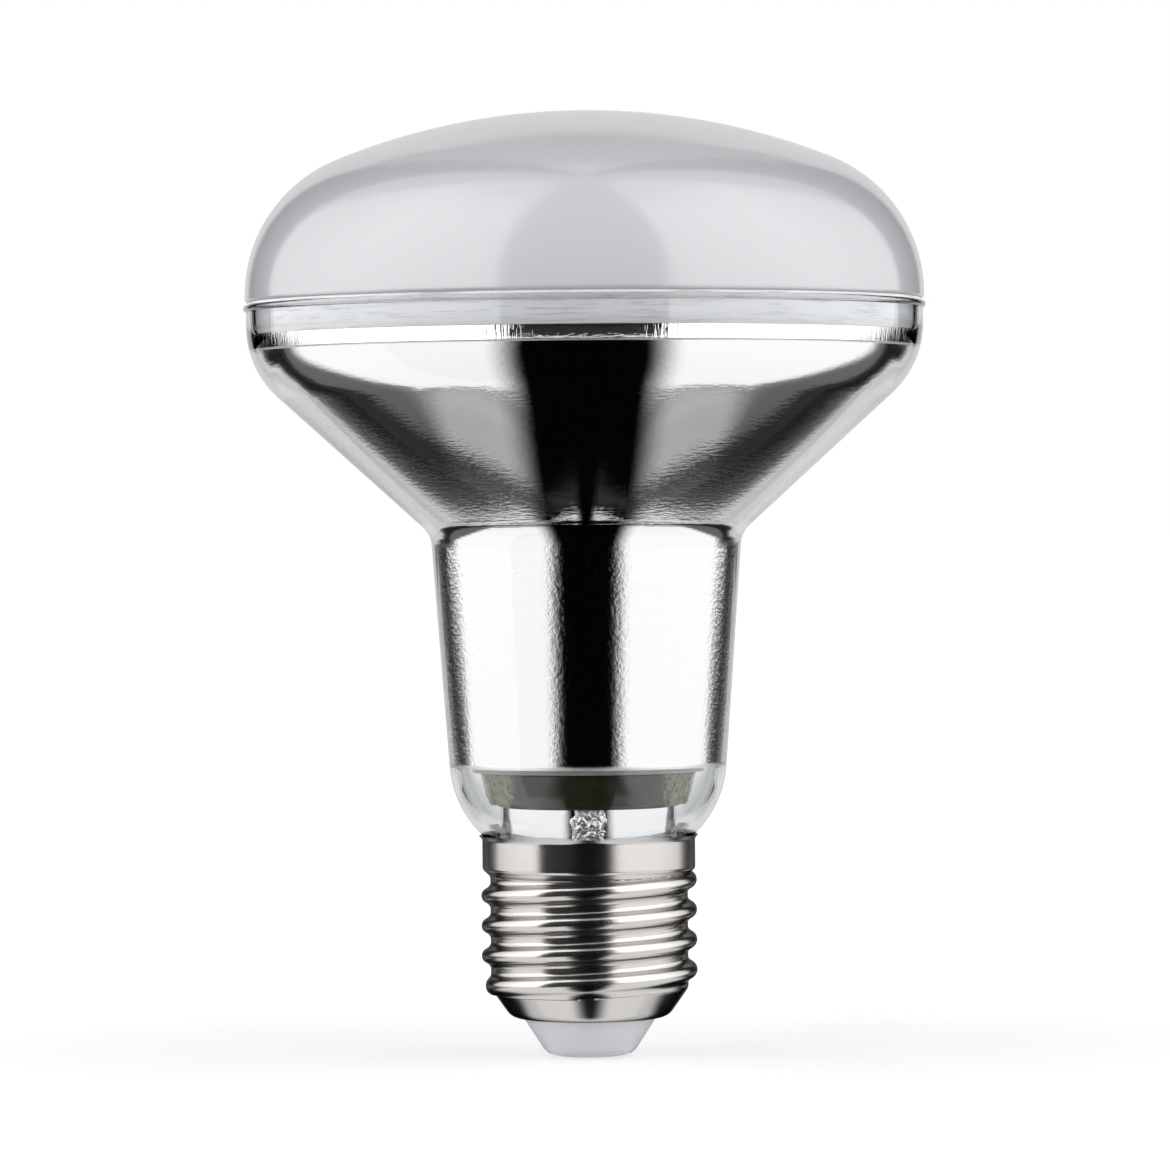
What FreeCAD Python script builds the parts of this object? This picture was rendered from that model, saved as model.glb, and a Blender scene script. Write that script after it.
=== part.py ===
import FreeCAD, Part
import math
import os

# Reflector lamp with a screw cap. Millimetres, +Z along the lamp's axis with the dome up.
# The origin is the tip of the centre contact.

Vector = FreeCAD.Vector

# Round stretches of a section are drawn as chords that stay this close to the true arc,
# and never miss it by more than this share of its radius
CHORD_ERROR = 0.1
COARSEST_CHORD = 0.3
# Clearance between pieces that slide into each other, and between pieces that lie side by side
FIT = 0.2
GAP = 0.1

# Screw cap, rolled from one sheet, to the 27 mm Edison size
CAP_LENGTH = 26.8
CAP_SHEET = 0.3
THREAD_PITCH = 3.629
THREAD_CREST_RADIUS = 13.05
THREAD_ROOT_RADIUS = 11.95
THREAD_WIDTH = 3.58
THREAD_START_ANGLE = 80.0
THREAD_RUN_IN = 180.0
THREAD_RUN_OUT = 120.0
THREAD_TURNS = 4.3
THREAD_STEPS_PER_TURN = 24
THREAD_HALF_STEPS = 4
THREAD_SINK = 0.05
THREAD_RISE = 2.9
THREAD_LEDGE = 2.95
COLLAR_RADIUS = 12.88
COLLAR_LENGTH = 3.6
COLLAR_STEP = 0.9
COLLAR_ROUND = 0.6
LIP_RADIUS = 13.3
LIP_HEIGHT = 0.45
LIP_ROUND = 0.4
SHOULDER_HEIGHT = 3.55
SHOULDER_ANGLE = 35.3
SHOULDER_ROUND = 1.5
SHELL_FOOT_ROUND = 2.0
SHELL_HOLE_RADIUS = 8.05

# White cone at the foot of the cap, and the contact in it
INSULATOR_TAPER_HEIGHT = 3.8
INSULATOR_NOSE_RADIUS = 5.6
INSULATOR_NOSE_HEIGHT = 0.95
INSULATOR_EDGE_RADIUS = 5.0
INSULATOR_PLUG_RADIUS = 9.0
INSULATOR_PLUG_HEIGHT = 2.3
INSULATOR_PLUG_CHAMFER = 0.6
INSULATOR_BORE_RADIUS = 1.6
CONTACT_RADIUS = 4.7
CONTACT_TIP_RADIUS = 1.5
CONTACT_BEND_RADIUS = 3.8
CONTACT_BEND_HEIGHT = 0.16
CONTACT_EDGE_HEIGHT = 0.45
CONTACT_SHEET = 0.4
CONTACT_STEM_LENGTH = 3.0

# Pressed glass body, from its spout in the cap up to its rim
GLASS_WALL = 1.1
SPOUT_RADIUS = 12.2
SPOUT_LENGTH = 3.2
SPOUT_SEAT = 0.6
SPOUT_ROUND = 0.6
FOOT_RADIUS = 16.4
FOOT_ANGLE = 46.0
FOOT_ROUND = 12.5
NECK_LENGTH = 33.0
NECK_TOP_RADIUS = 18.8
NECK_ROUND = 3.3
BOWL_ANGLE = 47.7
BOWL_ROUND = 11.5
SKIRT_RADIUS = 40.85
SKIRT_LENGTH = 7.65
BEAD_STAND = 0.35
BEAD_HEIGHT = 0.8
BEAD_CHAMFER = 0.2

# Frosted front dome, with a spigot that is glued into the glass body's rim
SEAM = 0.3
DOME_OVERHANG = 0.15
DOME_WALL = 1.3
DOME_BAND = 0.76
DOME_EDGE_ROUND = 0.4
CROWN_RADIUS = 80.0
CROWN_FLAT_ANGLE = 1.5
DOME_SHOULDER_RADIUS = 17.6
SPIGOT_LENGTH = 2.8

# Light source on top of the heat spreader, a polished cup turned upside down
SPREADER_RADIUS = 10.9
SPREADER_WALL = 0.5
SPREADER_HEIGHT = 11.5
SPREADER_EDGE_ROUND = 0.6
ADHESIVE_TOP_RADIUS = 12.9
ADHESIVE_FOOT_RADIUS = 11.5
ADHESIVE_HEIGHT = 4.2
PAD_RADIUS = 10.2
PAD_THICKNESS = 0.3
BOARD_RADIUS = 14.0
BOARD_THICKNESS = 1.6
BOARD_HOLE_RADIUS = 1.6
CHIP_LENGTH = 3.5
CHIP_WIDTH = 2.8
CHIP_HEIGHT = 0.7
OUTER_CHIPS = 12
OUTER_CHIP_CIRCLE = 11.2
INNER_CHIPS = 6
INNER_CHIP_CIRCLE = 6.2

# Driver in its insulating housing
HOUSING_WALL = 1.0
HOUSING_FLANGE = 0.8
GUIDE_WIDTH = 1.0
GUIDE_REACH = 1.1
DRIVER_WIDTH = 18.0
DRIVER_THICKNESS = 1.0
DRIVER_LENGTH = 22.0
NOTCH_WIDTH = 1.5
NOTCH_HEIGHT = 3.2
WIRE_RADIUS = 0.4
LEAD_PITCH = 1.6
LEAD_RADIUS = 0.3
LEAD_BOW = 1.6
SHELL_LEAD_INSET = 2.0
# A wire's bend takes this share of the shorter stretch beside it
BEND_SHARE = 0.4

# Parts on the driver board
INPUT_CAPACITOR_RADIUS = 3.9
INPUT_CAPACITOR_LENGTH = 11.0
OUTPUT_CAPACITOR_RADIUS = 3.0
OUTPUT_CAPACITOR_LENGTH = 7.5
CAN_FOOT = 0.9
CAN_GROOVE = 0.3
TRANSFORMER_WIDTH = 10.0
TRANSFORMER_DEPTH = 7.0
TRANSFORMER_LENGTH = 9.0
TRANSFORMER_LIMB = 1.6
CHOKE_RADIUS = 2.7
CHOKE_LENGTH = 6.0
CHOKE_FLANGE = 0.9
CHOKE_WAIST = 2.1
FILM_CAPACITOR_WIDTH = 6.0
FILM_CAPACITOR_DEPTH = 3.8
FILM_CAPACITOR_LENGTH = 5.5
FILM_CAPACITOR_ROUND = 0.2
RECTIFIER_WIDTH = 4.7
RECTIFIER_DEPTH = 1.5
RECTIFIER_LENGTH = 3.9
CHIP_PACKAGE_WIDTH = 3.9
CHIP_PACKAGE_DEPTH = 1.5
CHIP_PACKAGE_LENGTH = 4.9
PACKAGE_CHAMFER = 0.1
RESISTOR_RADIUS = 1.2
RESISTOR_LENGTH = 5.0


def arc(centre, radius, start, end):
    """Chord points of a round stretch; angles in degrees, 0 points outwards and 90 upwards."""
    step = 2 * math.degrees(math.acos(1 - min(CHORD_ERROR / radius, COARSEST_CHORD)))
    count = math.ceil(abs(end - start) / step)
    return [step_from(centre, start + (end - start) * i / count, radius) for i in range(count + 1)]


def heading(start, end):
    """Direction of a straight stretch in degrees."""
    return math.degrees(math.atan2(end[1] - start[1], end[0] - start[0]))


def turn_between(before, corner, after):
    """How far an outline turns at a corner, in degrees, positive to the left."""
    turn = heading(corner, after) - heading(before, corner)
    return (turn + 180) % 360 - 180


def rounded(corners):
    """Points of an outline through corners of (radius, height, rounding)."""
    points = [corners[0][:2]]
    for before, corner, after in zip(corners, corners[1:], corners[2:]):
        turn = turn_between(before, corner, after)
        run = heading(before, corner)
        reach = corner[2] * math.tan(math.radians(abs(turn) / 2))
        side = math.copysign(90, turn)
        start = step_from(corner, run + 180, reach)
        centre = step_from(start, run + side, corner[2])
        points += arc(centre, corner[2], run - side, run - side + turn)
    return points + [corners[-1][:2]]


def step_from(point, direction, distance):
    """The point at a distance in a direction given in degrees."""
    angle = math.radians(direction)
    return (point[0] + distance * math.cos(angle), point[1] + distance * math.sin(angle))


def inset(corners, wall):
    """The same outline moved by the wall to its right, with its rounds kept concentric."""
    moved = []
    for i, corner in enumerate(corners):
        before = corners[i - 1] if i > 0 else None
        after = corners[i + 1] if i + 1 < len(corners) else None
        run = heading(before, corner) if before else heading(corner, after)
        turn = turn_between(before, corner, after) if before and after else 0
        reach = wall / math.cos(math.radians(turn / 2))
        place = step_from(corner, run + turn / 2 - 90, reach)
        rounding = corner[2] + math.copysign(wall, turn)
        moved.append((place[0], place[1], rounding))
    return moved


def turned(points):
    """A solid turned round the lamp's axis from a closed section of (radius, height) points."""
    corners = [Vector(round(radius, 9), 0, height) for radius, height in points]
    outline = Part.makePolygon(corners + [corners[0]])
    return Part.Face(outline).revolve(Vector(0, 0, 0), Vector(0, 0, 1), 360)


def ring(inner, outer, low, high):
    """A plain round washer or, with no inner radius, a disc."""
    body = Part.makeCylinder(outer, high - low, Vector(0, 0, low))
    if inner:
        body = body.cut(Part.makeCylinder(inner, high - low, Vector(0, 0, low)))
    return body


def cylinder_at(x, y, low, high, radius):
    return Part.makeCylinder(radius, high - low, Vector(x, y, low))


def block_at(x, y, low, high, width, depth):
    return Part.makeBox(width, depth, high - low, Vector(x - width / 2, y - depth / 2, low))


def wire_along(places, radius):
    """A bent wire through places, with a round bend at each inner one."""
    points = [Vector(*place) for place in places]
    edges = []
    start = points[0]
    for before, corner, after in zip(points, points[1:], points[2:]):
        incoming = (corner - before).normalize()
        outgoing = (after - corner).normalize()
        reach = BEND_SHARE * min((corner - before).Length, (after - corner).Length)
        bend_start = corner - incoming * reach
        bend_end = corner + outgoing * reach
        half = incoming.getAngle(outgoing) / 2
        inward = (outgoing - incoming).normalize()
        sagitta = reach * (1 - math.cos(half)) / math.tan(half)
        middle = (bend_start + bend_end) / 2 - inward * sagitta
        edges.append(Part.makeLine(start, bend_start))
        edges.append(Part.Arc(bend_start, middle, bend_end).toShape())
        start = bend_end
    edges.append(Part.makeLine(start, points[-1]))
    end = Part.makeCircle(radius, points[0], points[1] - points[0])
    return Part.Wire(edges).makePipeShell([Part.Wire([end])], True, False)


# Levels that follow from the sizes, from the cap's foot up to the dome
shell_foot = INSULATOR_NOSE_HEIGHT + INSULATOR_TAPER_HEIGHT
shoulder_top = shell_foot + SHOULDER_HEIGHT
shoulder_slope = math.tan(math.radians(SHOULDER_ANGLE))
thread_foot = shell_foot + THREAD_RISE
thread_depth = THREAD_CREST_RADIUS - THREAD_ROOT_RADIUS + THREAD_SINK
thread_round = ((THREAD_WIDTH / 4) ** 2 + (thread_depth / 2) ** 2) / thread_depth
shell_foot_radius = THREAD_ROOT_RADIUS - SHOULDER_HEIGHT * shoulder_slope
collar_foot = CAP_LENGTH - LIP_HEIGHT - COLLAR_LENGTH
collar_bore = COLLAR_RADIUS - CAP_SHEET
spout_top = CAP_LENGTH - SPOUT_SEAT
spout_foot = spout_top - SPOUT_LENGTH
foot_height = spout_top + (FOOT_RADIUS - SPOUT_RADIUS) / math.tan(math.radians(FOOT_ANGLE))
neck_top = foot_height + NECK_LENGTH
bowl_top = neck_top + (SKIRT_RADIUS - NECK_TOP_RADIUS) / math.tan(math.radians(BOWL_ANGLE))
rim = bowl_top + SKIRT_LENGTH
bead_radius = SKIRT_RADIUS + BEAD_STAND
dome_foot = rim + SEAM
dome_radius = SKIRT_RADIUS + DOME_OVERHANG
rim_bore = SKIRT_RADIUS - GLASS_WALL
spigot_radius = rim_bore - SEAM
plug_foot = shell_foot + CAP_SHEET
plug_top = plug_foot + INSULATOR_PLUG_HEIGHT
spreader_foot = spout_foot - FIT
spreader_top = spreader_foot + SPREADER_HEIGHT
board_foot = spreader_top + PAD_THICKNESS
board_top = board_foot + BOARD_THICKNESS
housing_radius = SPREADER_RADIUS - SPREADER_WALL - GAP
housing_bore = housing_radius - HOUSING_WALL
housing_top = spreader_top - SPREADER_WALL - GAP
shoulder_sheet = CAP_SHEET / math.cos(math.radians(SHOULDER_ANGLE))
foot_drop = (THREAD_ROOT_RADIUS - shoulder_sheet - GAP - housing_radius) / shoulder_slope
housing_foot = shoulder_top - foot_drop
driver_top = housing_top - HOUSING_WALL - FIT
driver_foot = driver_top - DRIVER_LENGTH
board_face = DRIVER_THICKNESS / 2
transformer_y = -board_face - TRANSFORMER_DEPTH / 2
transformer_foot = driver_top - TRANSFORMER_LENGTH - FIT
window_foot = transformer_foot + TRANSFORMER_LIMB
window_top = transformer_foot + TRANSFORMER_LENGTH - TRANSFORMER_LIMB
window_radius = TRANSFORMER_WIDTH / 2 - TRANSFORMER_LIMB


def shell_corners():
    """Outer outline of the cap's sheet, from the lip down to the hole in its foot."""
    return [
        (LIP_RADIUS, CAP_LENGTH, 0),
        (COLLAR_RADIUS, CAP_LENGTH - LIP_HEIGHT, LIP_ROUND),
        (COLLAR_RADIUS, collar_foot, COLLAR_ROUND),
        (THREAD_ROOT_RADIUS, collar_foot - COLLAR_STEP, COLLAR_ROUND),
        (THREAD_ROOT_RADIUS, shoulder_top, SHOULDER_ROUND),
        (shell_foot_radius, shell_foot, SHELL_FOOT_ROUND),
        (SHELL_HOLE_RADIUS, shell_foot, 0),
    ]


def thread_height(angle):
    """Height of the thread's middle at an angle, which goes on counting over the turns."""
    return thread_foot + THREAD_PITCH * (angle - THREAD_START_ANGLE) / 360


def thread_share(angle):
    """Share of the thread's full depth, which grows at its start and fades at its end."""
    whole = THREAD_TURNS * 360
    gone = angle - THREAD_START_ANGLE
    nearest = min(gone / THREAD_RUN_IN, (whole - gone) / THREAD_RUN_OUT, 1)
    return 0.5 - 0.5 * math.cos(math.pi * max(nearest, 0))


def wave_height(place):
    """Height of the thread over its edge: a round crest and two round roots, all tangent."""
    to_crest = abs(place)
    to_edge = THREAD_WIDTH / 2 - to_crest
    drop = thread_round - math.sqrt(thread_round ** 2 - min(to_crest, to_edge) ** 2)
    return thread_depth - drop if to_crest < to_edge else drop


def thread_section(angle, inward):
    """The wave of the thread at an angle, moved inwards; its edges lie just under the wall."""
    root = THREAD_ROOT_RADIUS - THREAD_SINK - inward
    share = thread_share(angle)
    back = root - CAP_SHEET
    step = THREAD_WIDTH / 2 / THREAD_HALF_STEPS
    places = [i * step for i in range(-THREAD_HALF_STEPS, THREAD_HALF_STEPS + 1)]
    wave = [(root + share * wave_height(place), place) for place in places]
    outline = [(back, -THREAD_WIDTH / 2)] + wave + [(back, THREAD_WIDTH / 2)]
    middle = thread_height(angle)
    turn = math.radians(angle)
    corners = [
        Vector(radius * math.cos(turn), radius * math.sin(turn), middle + height)
        for radius, height in outline
    ]
    return Part.makePolygon(corners + [corners[0]])


def thread_wave(inward):
    """The helical wave of the thread as a solid, cut off level where the shoulder starts."""
    count = round(THREAD_TURNS * THREAD_STEPS_PER_TURN)
    step = THREAD_TURNS * 360 / count
    angles = [THREAD_START_ANGLE + i * step for i in range(count + 1)]
    wave = Part.makeLoft([thread_section(angle, inward) for angle in angles], True, True)
    ledge = shell_foot + THREAD_LEDGE + inward
    return wave.cut(Part.makeCylinder(LIP_RADIUS + THREAD_WIDTH, ledge))


def closed_to_axis(corners):
    return turned([(0, corners[0][1])] + rounded(corners) + [(0, corners[-1][1])])


def screw_cap():
    """The rolled sheet: its outside less its inside, each with its own side of the thread."""
    outer = shell_corners()
    outside = closed_to_axis(outer).fuse(thread_wave(0))
    inside = closed_to_axis(inset(outer, CAP_SHEET)).fuse(thread_wave(CAP_SHEET))
    mouth = ring(0, SHELL_HOLE_RADIUS, shell_foot, shoulder_top)
    return outside.cut(inside).cut(mouth)


def cap_insulator():
    section = [
        (INSULATOR_BORE_RADIUS, CONTACT_EDGE_HEIGHT),
        (INSULATOR_EDGE_RADIUS, CONTACT_EDGE_HEIGHT),
        (INSULATOR_NOSE_RADIUS, INSULATOR_NOSE_HEIGHT),
        (SHELL_HOLE_RADIUS, shell_foot),
        (SHELL_HOLE_RADIUS, plug_foot),
        (INSULATOR_PLUG_RADIUS - INSULATOR_PLUG_CHAMFER, plug_foot),
        (INSULATOR_PLUG_RADIUS, plug_foot + INSULATOR_PLUG_CHAMFER),
        (INSULATOR_PLUG_RADIUS, plug_top),
        (INSULATOR_BORE_RADIUS, plug_top),
    ]
    return turned(section)


def centre_contact():
    """A domed disc with a flat tip and the hollow rivet that holds it in the insulator."""
    rivet = INSULATOR_BORE_RADIUS
    section = [
        (0, 0),
        (CONTACT_TIP_RADIUS, 0),
        (CONTACT_BEND_RADIUS, CONTACT_BEND_HEIGHT),
        (CONTACT_RADIUS, CONTACT_EDGE_HEIGHT),
        (rivet, CONTACT_EDGE_HEIGHT),
        (rivet, CONTACT_EDGE_HEIGHT + CONTACT_STEM_LENGTH),
        (rivet - CONTACT_SHEET, CONTACT_EDGE_HEIGHT + CONTACT_STEM_LENGTH),
        (rivet - CONTACT_SHEET, CONTACT_SHEET),
        (0, CONTACT_SHEET),
    ]
    return turned(section)


def glass_corners():
    """Outer outline of the glass body, from the rim down to the spout's end."""
    return [
        (SKIRT_RADIUS, rim, 0),
        (SKIRT_RADIUS, bowl_top, BOWL_ROUND),
        (NECK_TOP_RADIUS, neck_top, NECK_ROUND),
        (FOOT_RADIUS, foot_height, FOOT_ROUND),
        (SPOUT_RADIUS, spout_top, SPOUT_ROUND),
        (SPOUT_RADIUS, spout_foot, 0),
    ]


def reflector_glass():
    outer = glass_corners()
    inner = inset(outer, GLASS_WALL)
    bead = [
        (bead_radius - BEAD_CHAMFER, rim),
        (bead_radius, rim - BEAD_CHAMFER),
        (bead_radius, rim - BEAD_HEIGHT + BEAD_CHAMFER),
        (SKIRT_RADIUS, rim - BEAD_HEIGHT),
    ]
    return turned(bead + rounded(outer)[1:] + rounded(inner)[::-1])


def dome_arcs(wall):
    """Crown, with a small flat at its top, and shoulder of the dome, moved in by the wall."""
    reach = dome_radius - DOME_SHOULDER_RADIUS
    slope = math.degrees(math.asin(reach / (CROWN_RADIUS - DOME_SHOULDER_RADIUS)))
    shoulder = (reach, dome_foot + DOME_BAND)
    crown = step_from(shoulder, 270 - slope, CROWN_RADIUS - DOME_SHOULDER_RADIUS)
    top = arc(crown, CROWN_RADIUS - wall, 90 - CROWN_FLAT_ANGLE, 90 - slope)
    side = arc(shoulder, DOME_SHOULDER_RADIUS - wall, 90 - slope, 0)
    return [(0, top[0][1])] + top + side[1:]


def front_dome():
    inside = dome_arcs(DOME_WALL)
    spigot_bore = spigot_radius - DOME_WALL
    edge_centre = (dome_radius - DOME_EDGE_ROUND, dome_foot + DOME_EDGE_ROUND)
    edge = arc(edge_centre, DOME_EDGE_ROUND, 0, -90)
    spigot = [
        (spigot_radius, dome_foot),
        (spigot_radius, dome_foot - SPIGOT_LENGTH),
        (spigot_bore, dome_foot - SPIGOT_LENGTH),
        (spigot_bore, dome_foot),
        (dome_radius - DOME_WALL, dome_foot + DOME_BAND),
    ]
    return turned(dome_arcs(0) + edge + spigot + inside[::-1][1:])


def rim_adhesive():
    """Clear glue round the spigot and under the dome's edge."""
    flange = dome_radius - DOME_EDGE_ROUND
    section = [
        (flange, dome_foot),
        (flange, rim),
        (rim_bore, rim),
        (rim_bore, dome_foot - SPIGOT_LENGTH),
        (spigot_radius, dome_foot - SPIGOT_LENGTH),
        (spigot_radius, dome_foot),
    ]
    return turned(section)


def capping_cement():
    """The ring of cement between the glass spout and the cap's collar."""
    low = collar_foot + COLLAR_ROUND
    return ring(SPOUT_RADIUS, collar_bore, low, spout_top - SPOUT_ROUND)


def heat_spreader():
    """A polished cup turned upside down; the board lies on its closed end."""
    bore = SPREADER_RADIUS - SPREADER_WALL
    edge = (SPREADER_RADIUS - SPREADER_EDGE_ROUND, spreader_top - SPREADER_EDGE_ROUND)
    section = [(BOARD_HOLE_RADIUS, spreader_top)] + arc(edge, SPREADER_EDGE_ROUND, 90, 0) + [
        (SPREADER_RADIUS, spreader_foot),
        (bore, spreader_foot),
        (bore, spreader_top - SPREADER_WALL),
        (BOARD_HOLE_RADIUS, spreader_top - SPREADER_WALL),
    ]
    return turned(section)


def thermal_adhesive():
    """The olive bead of glue round the heat spreader, under the board."""
    low = board_foot - ADHESIVE_HEIGHT
    section = [
        (SPREADER_RADIUS, board_foot),
        (ADHESIVE_TOP_RADIUS, board_foot),
        (ADHESIVE_FOOT_RADIUS, low),
        (SPREADER_RADIUS, low),
    ]
    return turned(section)


def thermal_pad():
    return ring(BOARD_HOLE_RADIUS, PAD_RADIUS, spreader_top, board_foot)


def led_board():
    return ring(BOARD_HOLE_RADIUS, BOARD_RADIUS, board_foot, board_top)


def led_chips():
    """Two circles of identical chips on the board."""
    chips = []
    for count, circle in ((OUTER_CHIPS, OUTER_CHIP_CIRCLE), (INNER_CHIPS, INNER_CHIP_CIRCLE)):
        for i in range(count):
            chip = block_at(circle, 0, board_top, board_top + CHIP_HEIGHT, CHIP_WIDTH, CHIP_LENGTH)
            chip.rotate(Vector(0, 0, 0), Vector(0, 0, 1), 360 * (i + 0.5) / count)
            chips.append(chip)
    return Part.makeCompound(chips)


def driver_guides():
    """Four ribs in the housing, a pair to hold each side of the driver board."""
    x = housing_bore - GUIDE_REACH / 2
    y = board_face + GAP + GUIDE_WIDTH / 2
    width = GUIDE_REACH + HOUSING_WALL / 2
    ribs = [
        block_at(side * x, front * y, driver_foot, driver_top, width, GUIDE_WIDTH)
        for side in (-1, 1) for front in (-1, 1)
    ]
    return ribs[0].multiFuse(ribs[1:])


def driver_housing():
    """Insulating tube, closed above, with the flange that the heat spreader stands on."""
    flange = THREAD_ROOT_RADIUS - CAP_SHEET - FIT
    section = [
        (BOARD_HOLE_RADIUS, housing_top),
        (housing_radius, housing_top),
        (housing_radius, spreader_foot),
        (flange, spreader_foot),
        (flange, spreader_foot - HOUSING_FLANGE),
        (housing_radius, spreader_foot - HOUSING_FLANGE),
        (housing_radius, housing_foot),
        (housing_bore, housing_foot),
        (housing_bore, housing_top - HOUSING_WALL),
        (BOARD_HOLE_RADIUS, housing_top - HOUSING_WALL),
    ]
    middle = housing_radius - HOUSING_WALL / 2
    notch = block_at(
        middle, 0, housing_foot, housing_foot + NOTCH_HEIGHT, 2 * HOUSING_WALL, NOTCH_WIDTH)
    return turned(section).fuse(driver_guides()).cut(notch)


def driver_board():
    return block_at(0, 0, driver_foot, driver_top, DRIVER_WIDTH, DRIVER_THICKNESS)


def can_capacitor(radius, length, low):
    """An upright can on the board's front, with the groove that seals its foot."""
    section = [
        (0, low),
        (radius, low),
        (radius, low + CAN_FOOT),
        (radius - CAN_GROOVE, low + CAN_FOOT + CAN_GROOVE),
        (radius, low + CAN_FOOT + 2 * CAN_GROOVE),
        (radius, low + length),
        (0, low + length),
    ]
    return turned(section).translated(Vector(0, board_face + radius, 0))


def input_capacitor():
    return can_capacitor(
        INPUT_CAPACITOR_RADIUS, INPUT_CAPACITOR_LENGTH, driver_top - INPUT_CAPACITOR_LENGTH - FIT)


def output_capacitor():
    return can_capacitor(OUTPUT_CAPACITOR_RADIUS, OUTPUT_CAPACITOR_LENGTH, driver_foot + FIT)


def transformer_core():
    """Ferrite frame with a round middle limb in its window."""
    core = block_at(
        0, transformer_y, transformer_foot, transformer_foot + TRANSFORMER_LENGTH,
        TRANSFORMER_WIDTH, TRANSFORMER_DEPTH)
    window = block_at(
        0, transformer_y, window_foot, window_top, 2 * window_radius, TRANSFORMER_DEPTH)
    limb = cylinder_at(0, transformer_y, window_foot, window_top, TRANSFORMER_LIMB)
    return core.cut(window.cut(limb))


def transformer_winding():
    winding = ring(TRANSFORMER_LIMB, window_radius, window_foot, window_top)
    return winding.translated(Vector(0, transformer_y, 0))


def line_choke():
    """A drum core lying upright, with its winding in the waist."""
    x = -CHOKE_RADIUS - GAP - FIT
    y = -board_face - CHOKE_RADIUS
    low = driver_foot + FIT
    high = low + CHOKE_LENGTH
    drum = cylinder_at(x, y, low, low + CHOKE_FLANGE, CHOKE_RADIUS)
    drum = drum.fuse(cylinder_at(x, y, low + CHOKE_FLANGE, high - CHOKE_FLANGE, CHOKE_WAIST))
    return drum.fuse(cylinder_at(x, y, high - CHOKE_FLANGE, high, CHOKE_RADIUS))


def film_capacitor():
    low = driver_foot + FIT
    x = FILM_CAPACITOR_WIDTH / 2 + GAP
    y = -board_face - FILM_CAPACITOR_DEPTH / 2
    body = block_at(
        x, y, low, low + FILM_CAPACITOR_LENGTH, FILM_CAPACITOR_WIDTH, FILM_CAPACITOR_DEPTH)
    upright = [edge for edge in body.Edges if edge.BoundBox.ZLength > GAP]
    return body.makeFillet(FILM_CAPACITOR_ROUND, upright)


def surface_package(side, width, depth, length):
    """A flat moulded package on the board's front, beside the lower can."""
    x = side * (OUTPUT_CAPACITOR_RADIUS + FIT + width / 2)
    low = driver_foot + FIT
    body = block_at(x, board_face + depth / 2, low, low + length, width, depth)
    front = [edge for edge in body.Edges if edge.BoundBox.YMin > board_face + depth - GAP]
    return body.makeChamfer(PACKAGE_CHAMFER, front)


def bridge_rectifier():
    return surface_package(-1, RECTIFIER_WIDTH, RECTIFIER_DEPTH, RECTIFIER_LENGTH)


def controller_chip():
    return surface_package(1, CHIP_PACKAGE_WIDTH, CHIP_PACKAGE_DEPTH, CHIP_PACKAGE_LENGTH)


def fusible_resistor():
    """A resistor that stands in the insulator's bore, with a lead to each end."""
    low = CONTACT_EDGE_HEIGHT + CONTACT_STEM_LENGTH + FIT
    high = low + RESISTOR_LENGTH
    body = ring(0, RESISTOR_RADIUS, low, high)
    leads = ring(0, LEAD_RADIUS, CONTACT_SHEET, low).fuse(ring(0, LEAD_RADIUS, high, driver_foot))
    return body.fuse(leads)


def shell_lead():
    """The wire from the driver board through the housing's notch to the shell's wall."""
    x = housing_bore - SHELL_LEAD_INSET
    height = housing_foot + NOTCH_HEIGHT - NOTCH_WIDTH / 2
    shell = THREAD_ROOT_RADIUS - CAP_SHEET - GAP
    return wire_along([(x, 0, driver_foot), (x, 0, height), (shell, 0, height)], WIRE_RADIUS)


def led_leads():
    """Two wires from the driver board up through the middle hole and over to the LED board."""
    over = board_top + LEAD_BOW
    pad = BOARD_HOLE_RADIUS + LEAD_BOW
    wires = []
    for side in (-1, 1):
        x = side * LEAD_PITCH / 2
        places = [(x, 0, driver_top), (x, 0, over), (side * pad, 0, over), (side * pad, 0, board_top)]
        wires.append(wire_along(places, WIRE_RADIUS))
    return Part.makeCompound(wires)


PIECES = [
    front_dome, rim_adhesive, reflector_glass,
    screw_cap, cap_insulator, centre_contact, capping_cement,
    heat_spreader, thermal_adhesive, thermal_pad, led_board, led_chips, led_leads,
    driver_housing, driver_board, input_capacitor, output_capacitor, film_capacitor,
    transformer_core, transformer_winding, line_choke, bridge_rectifier, controller_chip,
    fusible_resistor, shell_lead,
]

os.makedirs("parts", exist_ok=True)
for piece in PIECES:
    piece().exportStep("parts/%s.step" % piece.__name__)
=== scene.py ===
"""A mirrored reflector bulb with its glass, front dome, screw cap and inner parts, in a plain studio."""

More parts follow.
